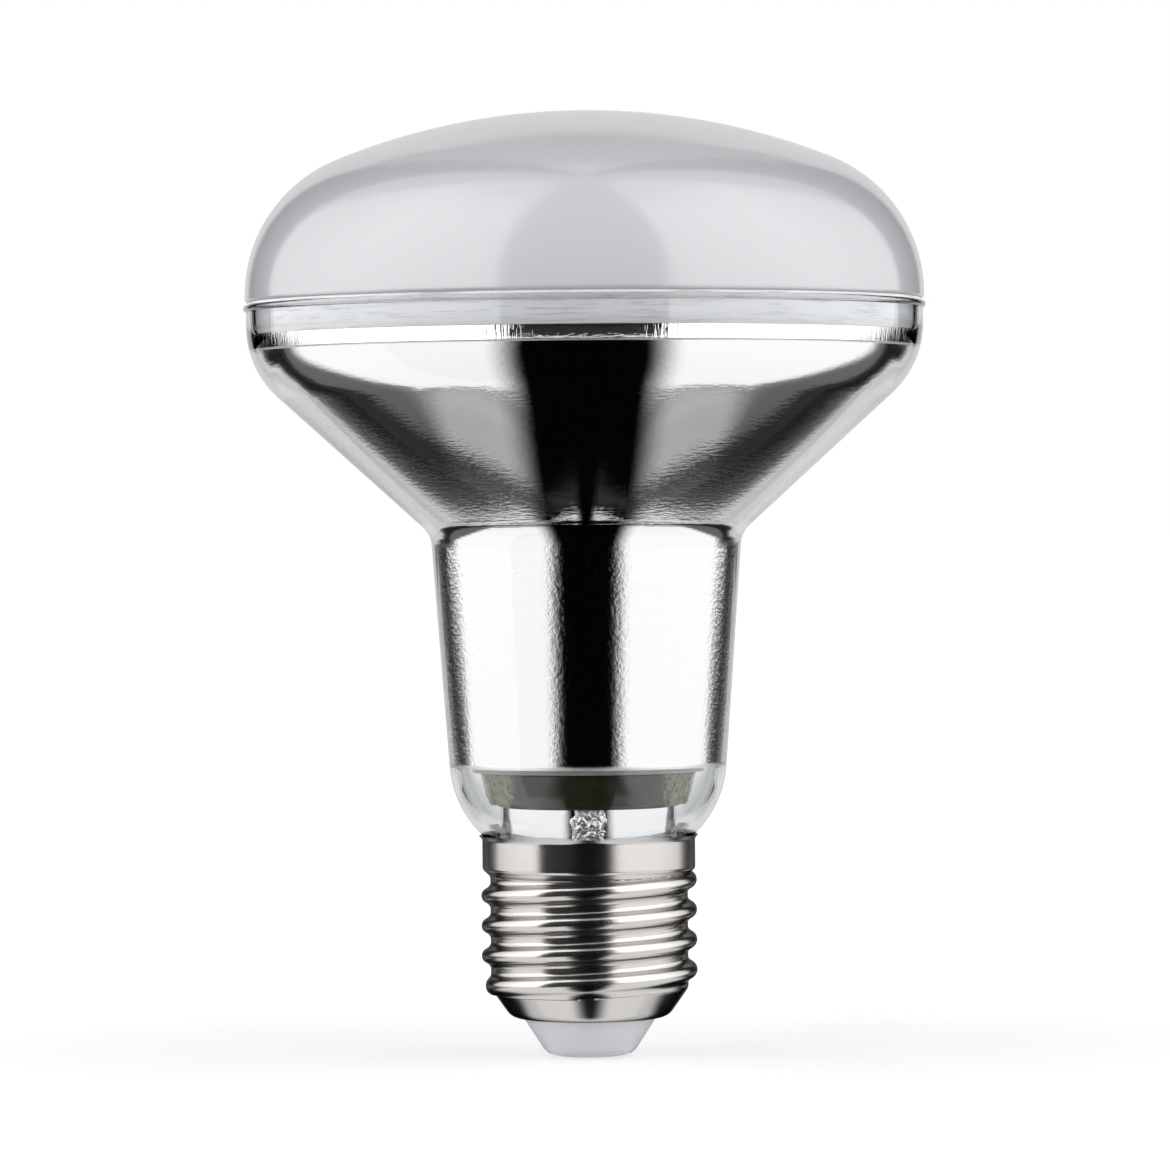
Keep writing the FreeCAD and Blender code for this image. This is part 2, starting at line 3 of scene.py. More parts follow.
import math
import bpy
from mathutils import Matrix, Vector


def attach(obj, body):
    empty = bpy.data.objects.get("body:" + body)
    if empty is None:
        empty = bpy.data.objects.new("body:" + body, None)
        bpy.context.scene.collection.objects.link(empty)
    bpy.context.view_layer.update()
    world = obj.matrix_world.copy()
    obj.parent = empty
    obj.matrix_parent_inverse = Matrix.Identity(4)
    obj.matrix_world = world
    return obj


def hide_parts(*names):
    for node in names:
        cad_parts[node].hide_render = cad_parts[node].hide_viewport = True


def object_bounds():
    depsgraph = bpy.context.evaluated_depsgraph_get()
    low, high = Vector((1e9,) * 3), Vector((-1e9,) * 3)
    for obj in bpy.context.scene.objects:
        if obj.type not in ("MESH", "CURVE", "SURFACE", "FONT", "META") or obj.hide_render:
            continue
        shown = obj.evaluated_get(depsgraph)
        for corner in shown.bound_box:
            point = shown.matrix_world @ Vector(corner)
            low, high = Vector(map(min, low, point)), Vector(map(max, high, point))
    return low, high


bl_info = {
    "name": "Reflector Bulb",
    "version": (1, 0, 0),
    "blender": (4, 5, 0),
    "location": "3D Viewport > Sidebar > Bulb",
    "description": "Builds a mirrored reflector bulb piece by piece, with its studio",
    "category": "Add Mesh",
}

import bmesh
import bpy
from mathutils import Matrix, Vector, noise

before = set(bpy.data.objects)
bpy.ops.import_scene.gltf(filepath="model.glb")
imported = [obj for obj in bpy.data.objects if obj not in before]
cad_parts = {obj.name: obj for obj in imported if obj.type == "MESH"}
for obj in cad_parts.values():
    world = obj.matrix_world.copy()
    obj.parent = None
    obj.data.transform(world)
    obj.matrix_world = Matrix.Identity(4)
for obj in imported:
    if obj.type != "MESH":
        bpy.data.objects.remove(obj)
CAD_BOX = [list(corner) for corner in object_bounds()]

MM = 0.001
AROUND = 256
SHARP = math.radians(38)
WHITE = (1.0, 1.0, 1.0, 1.0)
# Angle between the points of a small rounding, in radians
SMALL_ROUND_STEP = 0.3
# Gaps that keep glue and rivet off the faces beside them
GAP = 0.02 * MM
GLUE_GAP = 0.03 * MM
# Radius and height of the points of the contact's domed disc, in millimetres
CONTACT_CURVE = ((1.5, 0.0), (2.8, 0.06), (3.8, 0.17), (4.4, 0.3))
# The stage's sheets lie on spheres round the bulb's middle
MIDDLE = 0.06
BOX_REACH = 1.2
FLAG_REACH = 1.1
SIDES = ((-1, "left"), (1, "right"))


def length(name, millimetres, description):
    return bpy.props.FloatProperty(
        name=name,
        description=description,
        default=millimetres * MM,
        min=0.0,
        precision=5,
        unit="LENGTH",
        subtype="DISTANCE",
    )


def angle(name, degrees, description):
    return bpy.props.FloatProperty(
        name=name,
        description=description,
        default=math.radians(degrees),
        unit="ROTATION",
        subtype="ANGLE",
    )


def colour(name, red, green, blue, description):
    return bpy.props.FloatVectorProperty(
        name=name,
        description=description,
        default=(red, green, blue),
        min=0.0,
        max=1.0,
        size=3,
        subtype="COLOR",
    )


def number(name, default, description):
    return bpy.props.FloatProperty(name=name, description=description, default=default)


class BulbGlassSizes(bpy.types.PropertyGroup):
    wall: length("Wall", 1.1, "Thickness of the pressed glass")
    spout_radius: length("Spout radius", 12.2, "Outer radius of the spout in the cap")
    spout_foot: length("Spout foot", 23.0, "Height of the spout's lower end")
    spout_top: length("Spout top", 26.2, "Height where the foot begins to widen")
    spout_round: length("Spout round", 0.6, "Rounding between the spout and the foot")
    foot_radius: length("Foot radius", 16.4, "Outer radius at the neck's foot")
    foot_height: length("Foot height", 30.26, "Height of the neck's foot")
    foot_round: length("Foot round", 12.5, "Rounding between the foot and the neck")
    neck_top: length("Neck top", 63.26, "Height where the neck meets the bowl")
    neck_top_radius: length("Neck top radius", 18.8, "Outer radius at the neck's top")
    neck_round: length("Neck round", 3.3, "Rounding between neck and bowl")
    bowl_top: length("Bowl top", 83.32, "Height where the bowl meets the skirt")
    bowl_round: length("Bowl round", 11.5, "Rounding between bowl and skirt")
    rim: length("Rim", 90.97, "Height of the glass body's rim")
    skirt_radius: length("Skirt radius", 40.83, "Outer radius of the skirt")
    bead_radius: length("Bead radius", 41.17, "Outer radius of the bead at the rim")
    bead_height: length("Bead height", 0.8, "Height of the bead at the rim")


class BulbMirrorSizes(bpy.types.PropertyGroup):
    top: length("Top edge", 87.4, "Height of the silvering's upper edge")
    fold: length("Fold", 85.75, "Height of the fold under the upright wall")
    ledge: length("Ledge", 0.02, "Height of the ledge at the fold")
    foot: length("Lower edge", 35.2, "Height of the silvering's lower edge")
    depth: length("Depth", 0.03, "How deep the film lies in the glass surface")
    ripple: length("Ripple", 0.004, "Height of the fine ripples pressed into the glass")


class BulbDomeSizes(bpy.types.PropertyGroup):
    radius: length("Radius", 40.98, "Outer radius of the dome")
    wall: length("Wall", 1.3, "Thickness of the dome")
    foot: length("Foot", 91.27, "Height of the dome's lower edge")
    band: length("Band", 0.76, "Straight band above the lower edge")
    crown_radius: length("Crown radius", 80.0, "Radius of the shallow crown")
    shoulder_radius: length("Shoulder radius", 17.6, "Radius of the rounded shoulder")
    edge_round: length("Edge round", 0.4, "Rounding of the lower edge")
    spigot_radius: length("Spigot radius", 39.45, "Outer radius of the spigot in the glass")
    spigot_length: length("Spigot length", 2.8, "How far the spigot reaches down")


class BulbCapSizes(bpy.types.PropertyGroup):
    length: length("Length", 26.8, "Height of the lip's upper edge")
    sheet: length("Sheet", 0.3, "Thickness of the shell's sheet")
    bend: length("Bend", 0.6, "Rounding of the sheet at the collar")
    grid: length("Grid", 0.12, "Height between the points that carry the thread's wave")
    pitch: length("Thread pitch", 3.629, "Rise of the thread in one turn")
    crest_radius: length("Crest radius", 13.05, "Radius of the thread's crests")
    root_radius: length("Root radius", 11.95, "Radius between the crests")
    width: length("Thread width", 3.58, "Height of one thread wave")
    sink: length("Thread sink", 0.05, "How far the wave's edges lie under the wall")
    thread_foot: length("Thread foot", 7.65, "Height where the thread begins")
    ledge: length("Ledge", 7.7, "Height at which the thread is cut off level")
    start: angle("Thread start", 80, "Where round the cap the thread begins")
    run_in: angle("Run in", 180, "Turn over which the thread rises")
    run_out: angle("Run out", 120, "Turn over which the thread fades")
    turns: number("Turns", 4.3, "Turns of the thread")
    collar_radius: length("Collar radius", 12.88, "Radius of the collar above the thread")
    collar_foot: length("Collar foot", 22.75, "Height of the collar's lower edge")
    collar_step: length("Collar step", 0.9, "Height of the step under the collar")
    lip_radius: length("Lip radius", 13.27, "Radius of the flared lip")
    lip_height: length("Lip height", 0.45, "Height of the flared lip")
    lip_round: length("Lip round", 0.4, "Rounding under the flared lip")
    shoulder_top: length("Shoulder top", 8.3, "Height of the shoulder's upper edge")
    shoulder_round: length("Shoulder round", 1.5, "Rounding between the thread and the shoulder")
    foot: length("Shell foot", 4.75, "Height of the shell's foot")
    foot_radius: length("Shell foot radius", 9.436, "Radius at the shell's foot before rounding")
    foot_round: length("Shell foot round", 2.0, "Rounding at the shell's foot")
    hole_radius: length("Hole radius", 8.05, "Radius of the hole in the shell's foot")


class BulbEndSizes(bpy.types.PropertyGroup):
    nose_radius: length("Nose radius", 5.6, "Radius of the insulator above its nose")
    nose_height: length("Nose height", 0.95, "Height of the insulator's nose")
    nose_round: length("Nose round", 0.5, "Rounding above the nose and under the plug")
    edge_radius: length("Edge radius", 5.0, "Radius of the insulator's lower edge")
    edge_round: length("Edge round", 0.15, "Rounding of the insulator's lower edge")
    plug_radius: length("Plug radius", 9.0, "Radius of the plug inside the shell")
    plug_height: length("Plug height", 2.3, "Height of the plug inside the shell")
    plug_round: length("Plug round", 0.2, "Rounding of the plug's upper edge")
    bore_radius: length("Bore radius", 1.6, "Radius of the insulator's bore")
    contact_radius: length("Contact radius", 4.7, "Radius of the centre contact")
    contact_height: length("Contact height", 0.45, "Height of the contact's domed disc")
    stem_length: length("Stem length", 3.0, "Length of the rivet above the disc")
    contact_sheet: length("Contact sheet", 0.4, "Thickness of the contact's metal")


class BulbInsideSizes(bpy.types.PropertyGroup):
    spreader_radius: length("Spreader radius", 10.9, "Outer radius of the polished cup")
    spreader_wall: length("Spreader wall", 0.5, "Wall of the polished cup")
    spreader_hole: length("Spreader hole", 1.6, "Radius of the hole in the cup's closed end")
    spreader_round: length("Spreader round", 0.6, "Rounding of the cup's closed end")
    spreader_foot: length("Spreader foot", 22.8, "Height of the cup's lower edge")
    spreader_top: length("Spreader top", 34.3, "Height of the cup's closed end")
    glue_top_radius: length("Glue top radius", 13.2, "Radius of the olive glue at its top")
    glue_foot_radius: length("Glue foot radius", 12.1, "Radius of the olive glue at its foot")
    glue_foot: length("Glue foot", 30.4, "Height of the glue's lower edge")
    glue_top: length("Glue top", 34.6, "Height of the glue's upper edge")
    glue_round: length("Glue round", 0.3, "Rounding of the glue's edges")
    ragged: length("Ragged edge", 0.25, "How far the glue's lower edge wanders")


class BulbColours(bpy.types.PropertyGroup):
    dome: colour("Dome", 0.55, 0.55, 0.58, "Frosted front dome")
    glass: colour("Glass", 0.970, 0.984, 0.99, "Clear pressed glass")
    silver: colour("Silver", 0.97, 0.955, 0.95, "Silvering of the glass")
    nickel: colour("Nickel", 0.64, 0.62, 0.60, "Nickel plating of the cap")
    # Painted shade: the dark tint that the nickel's reflection takes where it is seen at a grazing angle
    grazing_shade: colour("Grazing shade", 0.08, 0.08, 0.08, "Nickel seen at a grazing angle")
    insulator: colour("Insulator", 0.74, 0.755, 0.79, "White insulator")
    contact: colour("Contact", 0.42, 0.40, 0.38, "Tinned contact")
    cup: colour("Cup", 0.99, 0.98, 0.985, "Polished heat spreader")
    # The olive glue's own dark colour, and the pale colour of the painted light on its sides
    glue: colour("Glue", 0.045, 0.048, 0.028, "Smooth stretches of the olive glue round the cup")
    lit_glue: colour("Lit glue", 0.40, 0.41, 0.29, "Painted lit stretches of the olive glue")
    # Also the colour of the rim glue's painted glow
    adhesive: colour("Adhesive", 0.95, 0.95, 0.97, "Clear glue in the rim")


class BulbStudio(bpy.types.PropertyGroup):
    lamp: number("Lamp", 1.9, "Brightness of the soft boxes")
    back_lamp: number("Back of the lamp", 1.25, "Brightness of the soft boxes at their back edge")
    front_gap: angle("Front gap", 28, "Half of the dark gap between the soft boxes in front")
    back_edge: angle("Back edge", 131, "Where the soft boxes end towards the back")
    flag_edge: angle("Flag edge", 156, "Where the dark flags behind end")
    lens: number("Lens", 192.0, "Focal length of the camera in millimetres")
    roll: angle("Roll", -0.46, "Tilt of the camera round its line of sight")


class Value:
    """A shader socket that takes part in Python arithmetic; each operation adds its Math node."""

    def __init__(self, nodes, node, output=0):
        self.nodes = nodes
        self.node = node
        self.output = output

    @property
    def socket(self):
        return self.node.outputs[self.output]

    def out(self, output):
        return Value(self.nodes, self.node, output)

    def math(self, operation, *values):
        return self.nodes.add("ShaderNodeMath", {"operation": operation}, values)

    def __add__(self, other):
        return self.math("ADD", self, other)

    __radd__ = __add__

    def __sub__(self, other):
        return self.math("SUBTRACT", self, other)

    def __rsub__(self, other):
        return self.math("SUBTRACT", other, self)

    def __mul__(self, other):
        return self.math("MULTIPLY", self, other)

    __rmul__ = __mul__

    def __truediv__(self, other):
        return self.math("DIVIDE", self, other)

    def __rtruediv__(self, other):
        return self.math("DIVIDE", other, self)

    def smooth(self, low, high):
        """0 below low and 1 above high, with a soft step between."""
        return self.nodes.add(
            "ShaderNodeMapRange",
            {"interpolation_type": "SMOOTHSTEP"},
            {"Value": self, "From Min": low, "From Max": high, "To Min": 0.0, "To Max": 1.0},
        )


class Nodes:
    """The node tree of a material or world."""

    def __init__(self, owner):
        owner.use_nodes = True
        self.tree = owner.node_tree
        self.tree.nodes.clear()

    def add(self, kind, settings=None, inputs=()):
        """One node: its settings first, then the values or links of its sockets."""
        node = self.tree.nodes.new(kind)
        for key, value in (settings or {}).items():
            setattr(node, key, value)
        pairs = inputs.items() if isinstance(inputs, dict) else enumerate(inputs)
        for key, value in pairs:
            if isinstance(value, Value):
                self.tree.links.new(value.socket, node.inputs[key])
            else:
                node.inputs[key].default_value = value
        return Value(self, node)

    def place(self, x=1.0, y=1.0, z=1.0):
        """The object's own coordinates in millimetres, stretched along each axis."""
        where = self.add("ShaderNodeTexCoord").out("Object")
        scale = (x / MM, y / MM, z / MM)
        return self.add("ShaderNodeVectorMath", {"operation": "MULTIPLY"}, [where, scale])

    def height(self):
        """The height above the origin in millimetres."""
        return self.add("ShaderNodeSeparateXYZ", None, [self.place()]).out("Z")

    def noise(self, place, scale, detail=2.0, roughness=0.5):
        inputs = {"Vector": place, "Scale": scale, "Detail": detail, "Roughness": roughness}
        return self.add("ShaderNodeTexNoise", None, inputs)

    def blend(self, factor, first, second):
        """A colour between two colours."""
        inputs = {0: factor, 6: opaque(first), 7: opaque(second)}
        return self.add("ShaderNodeMix", {"data_type": "RGBA"}, inputs).out(2)

    def bump(self, height, distance):
        return self.add("ShaderNodeBump", None, {"Height": height, "Distance": distance})

    def mix(self, factor, first, second):
        """The first shader where the factor is 0 and the second where it is 1."""
        return self.add("ShaderNodeMixShader", None, [factor, first, second])

    def off_bulb(self, path):
        """1 for rays that come off the bulb's metal or out of its glass."""
        return path.math("MAXIMUM", path.out("Is Glossy Ray"), path.out("Is Transmission Ray"))


def opaque(value):
    return value if isinstance(value, Value) else (*tuple(value)[:3], 1.0)


class Material(Nodes):
    """A material made of plain glows and cloths, as the stage has."""

    def __init__(self, name):
        self.material = bpy.data.materials.new(name)
        super().__init__(self.material)

    def glow(self, level):
        return self.add("ShaderNodeEmission", None, {"Color": WHITE, "Strength": level})

    def cloth(self, level):
        return self.add("ShaderNodeBsdfDiffuse", None, {"Color": (level, level, level, 1.0)})

    def end(self, shader):
        self.add("ShaderNodeOutputMaterial", None, {"Surface": shader})
        return self.material


class Finish(Material):
    """A material whose nodes end in one Principled shader."""

    def __init__(self, name, **constants):
        super().__init__(name)
        self.shader = self.add("ShaderNodeBsdfPrincipled")
        self.end(self.shader)
        self.set(**constants)

    def set(self, **sockets):
        """Values or links for the shader's sockets, named with underscores for spaces."""
        for key, value in sockets.items():
            socket = self.shader.node.inputs[key.replace("_", " ")]
            if isinstance(value, Value):
                self.tree.links.new(value.socket, socket)
            elif socket.type == "RGBA":
                socket.default_value = opaque(value)
            else:
                socket.default_value = value


def step_from(point, direction, distance):
    return (point[0] + distance * math.cos(direction), point[1] + distance * math.sin(direction))


def heading(start, end):
    return math.atan2(end[1] - start[1], end[0] - start[0])


def arc(centre, radius, start, end, step=math.radians(4)):
    """Points of a round stretch, with angles counted from outwards to upwards."""
    count = max(2, math.ceil(abs(end - start) / step))
    return [step_from(centre, start + (end - start) * i / count, radius) for i in range(count + 1)]


def bent(before, corner, after):
    """How far an outline turns at a corner, positive to the left."""
    turn = heading(corner, after) - heading(before, corner)
    return (turn + math.pi) % math.tau - math.pi


def rounded(corners):
    """Outline through corners of (radius, height, rounding)."""
    points = [corners[0][:2]]
    for before, corner, after in zip(corners, corners[1:], corners[2:]):
        if not corner[2]:
            points.append(corner[:2])
            continue
        turn = bent(before, corner, after)
        run = heading(before, corner)
        side = math.copysign(math.pi / 2, turn)
        start = step_from(corner, run + math.pi, corner[2] * math.tan(abs(turn) / 2))
        centre = step_from(start, run + side, corner[2])
        points += arc(centre, corner[2], run - side, run - side + turn)
    return points + [corners[-1][:2]]


def inset(corners, wall):
    """The outline moved to its right by the wall, with its rounds kept concentric."""
    moved = []
    for i, corner in enumerate(corners):
        before = corners[i - 1] if i else None
        after = corners[i + 1] if i + 1 < len(corners) else None
        run = heading(before, corner) if before else heading(corner, after)
        turn = bent(before, corner, after) if before and after else 0.0
        place = step_from(corner, run + turn / 2 - math.pi / 2, wall / math.cos(turn / 2))
        moved.append((*place, max(corner[2] + math.copysign(wall, turn), 0.0)))
    return moved


def finer(outline, step):
    """The outline with points added, so that no stretch is longer than the step."""
    points = [outline[0]]
    for start, end in zip(outline, outline[1:]):
        count = max(1, math.ceil(math.dist(start, end) / step))
        for i in range(1, count + 1):
            points.append(tuple(a + (b - a) * i / count for a, b in zip(start, end)))
    return points


def cut_between(outline, low, high):
    """The part of a falling outline between two heights."""
    points = []
    for start, end in zip(outline, outline[1:]):
        for level in (high, low):
            if (start[1] - level) * (end[1] - level) < 0:
                reach = (level - start[1]) / (end[1] - start[1])
                points.append((start[0] + (end[0] - start[0]) * reach, level))
        if low <= end[1] <= high:
            points.append(end)
    return sorted(set(points), key=lambda point: -point[1])


def add_piece(name, points, faces, material, slot=None, replaces=()):
    """A smooth mesh piece that rides with the bulb."""
    mesh = bpy.data.meshes.new(name)
    mesh.from_pydata(points, [], faces)
    mesh.validate()
    build = bmesh.new()
    build.from_mesh(mesh)
    bmesh.ops.recalc_face_normals(build, faces=build.faces)
    build.to_mesh(mesh)
    build.free()
    mesh.shade_smooth()
    mesh.set_sharp_from_angle(angle=SHARP)
    mesh.materials.append(material)
    piece = bpy.data.objects.new(name, mesh)
    bpy.context.scene.collection.objects.link(piece)
    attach(piece, "root")
    if replaces:
        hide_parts(*replaces)
    return piece


def turned(name, outline, material, closed=True, change=None, **kept):
    """A piece turned round the bulb's axis; change(turn, radius, height) may move its points."""
    points = []
    rings = []
    for radius, height in outline:
        if radius < 1e-7:
            rings.append([len(points)])
            points.append((0.0, 0.0, height))
            continue
        rings.append(range(len(points), len(points) + AROUND))
        for i in range(AROUND):
            turn = math.tau * i / AROUND
            out, up = change(turn, radius, height) if change else (radius, height)
            points.append((out * math.cos(turn), out * math.sin(turn), up))
    faces = []
    pairs = list(zip(rings, rings[1:]))
    if closed and len(rings[0]) > 1:
        pairs.append((rings[-1], rings[0]))
    for upper, lower in pairs:
        for i in range(AROUND):
            j = (i + 1) % AROUND
            above = [upper[k % len(upper)] for k in (i, j)]
            below = [lower[k % len(lower)] for k in (j, i)]
            faces.append(list(dict.fromkeys(above + below)))
    return add_piece(name, points, [face for face in faces if len(face) > 2], material, **kept)


def glass_corners(sizes):
    return [
        (sizes.skirt_radius, sizes.rim, 0.0),
        (sizes.skirt_radius, sizes.bowl_top, sizes.bowl_round),
        (sizes.neck_top_radius, sizes.neck_top, sizes.neck_round),
        (sizes.foot_radius, sizes.foot_height, sizes.foot_round),
        (sizes.spout_radius, sizes.spout_top, sizes.spout_round),
        (sizes.spout_radius, sizes.spout_foot, 0.0),
    ]


def glass_inside(glass, mirror, wall):
    """Inner outline of the glass: upright down to a small ledge, then the bowl and the neck."""
    inner = rounded(inset(glass_corners(glass), wall))
    bowl = cut_between(inner, 0.0, mirror.fold - mirror.ledge)
    return [inner[0], (inner[0][0], mirror.fold)] + bowl


class BULB_OT_glass_body(bpy.types.Operator):
    """Pressed clear glass body with its bead, skirt, bowl, neck and spout"""

    bl_idname = "bulb.glass_body"
    bl_label = "Glass Body"

    def execute(self, context):
        sizes = context.scene.bulb_glass
        outer = glass_corners(sizes)
        inner = glass_inside(sizes, context.scene.bulb_mirror, sizes.wall)
        half = sizes.bead_height / 2
        middle = (sizes.bead_radius - half, sizes.rim - half)
        bead = arc(middle, half, math.pi / 2, -math.pi / 2, SMALL_ROUND_STEP)
        outline = bead + [(sizes.skirt_radius, sizes.rim - sizes.bead_height)] + rounded(outer)[1:]
        outline += inner[::-1]
        tint = context.scene.bulb_colours.glass
        finish = Finish("clear_glass", Base_Color=tint, Roughness=0.0, Transmission_Weight=1.0, IOR=1.5)
        turned("glass_body", outline, finish.material, slot="mirrored_glass", replaces=["reflector_glass"])
        return {"FINISHED"}


def silver_finish(sizes, silver):
    """Silvering with the glass's grain, the neck's spots and the upright wall's fine ribs."""
    finish = Finish("silvering", Base_Color=silver, Metallic=1.0)
    height = finish.height()
    foot = sizes.foot / MM
    fold = sizes.fold / MM
    edge = 1.0 - height.smooth(foot + 0.1, foot + 0.7)
    line = height.smooth(fold - 0.2, fold - 0.1) * (1.0 - height.smooth(fold, fold + 0.05))
    neck = 1.0 - height.smooth(60.0, 65.0)
    wall = height.smooth(fold - 0.1, fold + 0.1)
    grain = finish.noise(finish.place(0.8, 0.8, 4.0), 1.0, 2.0, 0.6)
    spots = finish.noise(finish.place(), 2.0, 3.0, 0.6) * neck
    ribs = finish.noise(finish.place(3.0, 3.0, 0.2), 1.0, 2.0, 0.6) * wall
    finish.set(Roughness=edge * 0.45 + line * 0.5 + 0.03)
    finish.set(Normal=finish.bump(grain + spots * 3.6 + ribs * 5.0, sizes.ripple))
    return finish.material


class BULB_OT_mirror_film(bpy.types.Operator):
    """Silvering on the inside of the glass, with the glass's fine ripples"""

    bl_idname = "bulb.mirror_film"
    bl_label = "Mirror Film"

    def execute(self, context):
        glass = context.scene.bulb_glass
        sizes = context.scene.bulb_mirror
        inner = glass_inside(glass, sizes, glass.wall - sizes.depth)
        outline = finer(cut_between(inner, sizes.foot, sizes.top), 0.7 * MM)
        silver = silver_finish(sizes, context.scene.bulb_colours.silver)
        turned("mirror_film", outline, silver, closed=False, slot="mirrored_glass")
        return {"FINISHED"}


class BULB_OT_front_dome(bpy.types.Operator):
    """Satin frosted front dome with its spigot"""

    bl_idname = "bulb.front_dome"
    bl_label = "Front Dome"

    def execute(self, context):
        sizes = context.scene.bulb_dome
        reach = sizes.radius - sizes.shoulder_radius
        drop = sizes.crown_radius - sizes.shoulder_radius
        slope = math.asin(reach / drop)
        shoulder = (reach, sizes.foot + sizes.band)
        crown = step_from(shoulder, -math.pi / 2 - slope, drop)
        top = CAD_BOX[1][2]
        upright = math.pi / 2

        def shell(wall):
            points = arc(crown, sizes.crown_radius - wall, upright, upright - slope, math.radians(0.7))
            points += arc(shoulder, sizes.shoulder_radius - wall, upright - slope, 0.0, math.radians(2))[1:]
            return [(radius, min(height, top - wall)) for radius, height in points]

        corner = (sizes.radius - sizes.edge_round, sizes.foot + sizes.edge_round)
        edge = arc(corner, sizes.edge_round, 0.0, -upright, SMALL_ROUND_STEP)
        bore = sizes.spigot_radius - sizes.wall
        spigot = [
            (sizes.spigot_radius, sizes.foot),
            (sizes.spigot_radius, sizes.foot - sizes.spigot_length),
            (bore, sizes.foot - sizes.spigot_length),
            (bore, sizes.foot),
        ]
        outline = shell(0.0) + edge + spigot + shell(sizes.wall)[::-1]
        finish = Finish(
            "frosted_dome",
            Base_Color=context.scene.bulb_colours.dome,
            Roughness=0.45,
            Coat_Weight=1.0,
            Coat_Roughness=0.14,
            Coat_IOR=2.05,
        )
        turned("dome", outline, finish.material, slot="frosted_glass", replaces=["front_dome"])
        return {"FINISHED"}


def rim_glue_finish(clear):
    """Clear glue with level streaks and a painted glow, darker towards its lower edge."""
    # Painted light: the glue glows faintly in its own colour, though it is no lamp
    finish = Finish("rim_glue", Roughness=0.5, Emission_Color=clear, Emission_Strength=0.16)
    streaks = finish.noise(finish.place(0.2, 0.2, 3.0), 1.0, 4.0, 0.6).smooth(0.3, 0.55)
    # Darker towards the glue's lower edge
    toward_top = finish.height().smooth(87.9, 89.3) * 0.5 + 0.5
    finish.set(Base_Color=finish.blend(streaks * toward_top, [0.62 * c for c in clear], clear))
    return finish.material


class BULB_OT_rim_adhesive(bpy.types.Operator):
    """Clear glue between the dome's spigot and the glass, with its streaks"""

    bl_idname = "bulb.rim_adhesive"
    bl_label = "Rim Adhesive"

    def execute(self, context):
        glass = context.scene.bulb_glass
        dome = context.scene.bulb_dome
        bore = glass.skirt_radius - glass.wall - GLUE_GAP
        spigot = dome.spigot_radius + GAP
        flange = dome.radius - dome.edge_round
        low = context.scene.bulb_mirror.top + 0.05 * MM
        outline = [
            (flange, dome.foot - GAP),
            (flange, glass.rim + GAP),
            (bore, glass.rim + GAP),
            (bore, low),
            (spigot, low),
            (spigot, dome.foot - GAP),
        ]
        glue = rim_glue_finish(context.scene.bulb_colours.adhesive)
        turned("rim_glue", outline, glue, slot="clear_glue", replaces=["rim_adhesive"])
        return {"FINISHED"}


def thread_share(sizes, gone):
    """Share of the thread's depth at a turn counted from its start."""
    whole = sizes.turns * math.tau
    nearest = max(min(gone / sizes.run_in, (whole - gone) / sizes.run_out, 1.0), 0.0)
    return 0.5 - 0.5 * math.cos(math.pi * nearest)


def wave_height(sizes, place):
    """Height of the thread over its edge: a round crest and two round roots, all tangent."""
    depth = sizes.crest_radius - sizes.root_radius + sizes.sink
    bend = ((sizes.width / 4) ** 2 + (depth / 2) ** 2) / depth
    to_edge = sizes.width / 2 - place
    drop = bend - math.sqrt(bend ** 2 - min(place, to_edge) ** 2)
    return depth - drop if place < to_edge else drop


def thread_radius(sizes, turn, radius, height):
    """The shell's radius at a place, with the thread's wave."""
    if height < sizes.ledge or height > sizes.collar_foot:
        return radius
    best = radius
    gone = (turn - sizes.start) % math.tau
    while gone < sizes.turns * math.tau:
        middle = sizes.thread_foot + sizes.pitch * gone / math.tau
        place = abs(height - middle)
        if place < sizes.width / 2:
            rise = thread_share(sizes, gone) * wave_height(sizes, place)
            best = max(best, sizes.root_radius - sizes.sink + rise)
        gone += math.tau
    return best


def nickel_finish(nickel, grazing_shade):
    """Nickel plating with a fine grain, and painted shade that darkens it where it is seen at a grazing
    angle.
    """
    # Painted shade: the specular tint darkens the nickel's reflection where it is seen at a grazing angle
    finish = Finish("nickel", Base_Color=nickel, Metallic=1.0, Specular_Tint=grazing_shade)
    patches = finish.noise(finish.place(), 0.35, 2.0)
    grain = finish.noise(finish.place(), 6.0, 3.0, 0.6)
    finish.set(Roughness=0.15 + patches * 0.08)
    finish.set(Normal=finish.bump(grain, 0.008 * MM))
    return finish.material


class BULB_OT_screw_cap(bpy.types.Operator):
    """Nickel-plated shell with its lip, collar, rolled thread and shoulder"""

    bl_idname = "bulb.screw_cap"
    bl_label = "Screw Cap"

    def execute(self, context):
        sizes = context.scene.bulb_cap
        outer = rounded([
            (sizes.lip_radius, sizes.length, 0.0),
            (sizes.collar_radius, sizes.length - sizes.lip_height, sizes.lip_round),
            (sizes.collar_radius, sizes.collar_foot, sizes.bend),
            (sizes.root_radius, sizes.collar_foot - sizes.collar_step, sizes.bend),
            (sizes.root_radius, sizes.shoulder_top, sizes.shoulder_round),
            (sizes.foot_radius, sizes.foot, sizes.foot_round),
            (sizes.hole_radius, sizes.foot, 0.0),
        ])
        outline = finer(outer, sizes.grid)
        outline.append((sizes.hole_radius, sizes.foot + sizes.sheet))
        outline.append((sizes.lip_radius - sizes.sheet, sizes.length))

        def wave(turn, radius, height):
            return thread_radius(sizes, turn, radius, height), height

        colours = context.scene.bulb_colours
        nickel = nickel_finish(colours.nickel, colours.grazing_shade)
        turned("cap_shell", outline, nickel, slot="nickel_cap", replaces=["screw_cap"], change=wave)
        return {"FINISHED"}


def insulator_finish(white):
    finish = Finish("white_insulator", Base_Color=white, Roughness=0.35)
    finish.set(Normal=finish.bump(finish.noise(finish.place(), 3.0, 3.0), 0.01 * MM))
    return finish.material


def contact_finish(tinned):
    finish = Finish("tinned_contact", Base_Color=tinned, Metallic=1.0)
    finish.set(Roughness=0.25 + finish.noise(finish.place(), 1.2, 3.0) * 0.2)
    return finish.material


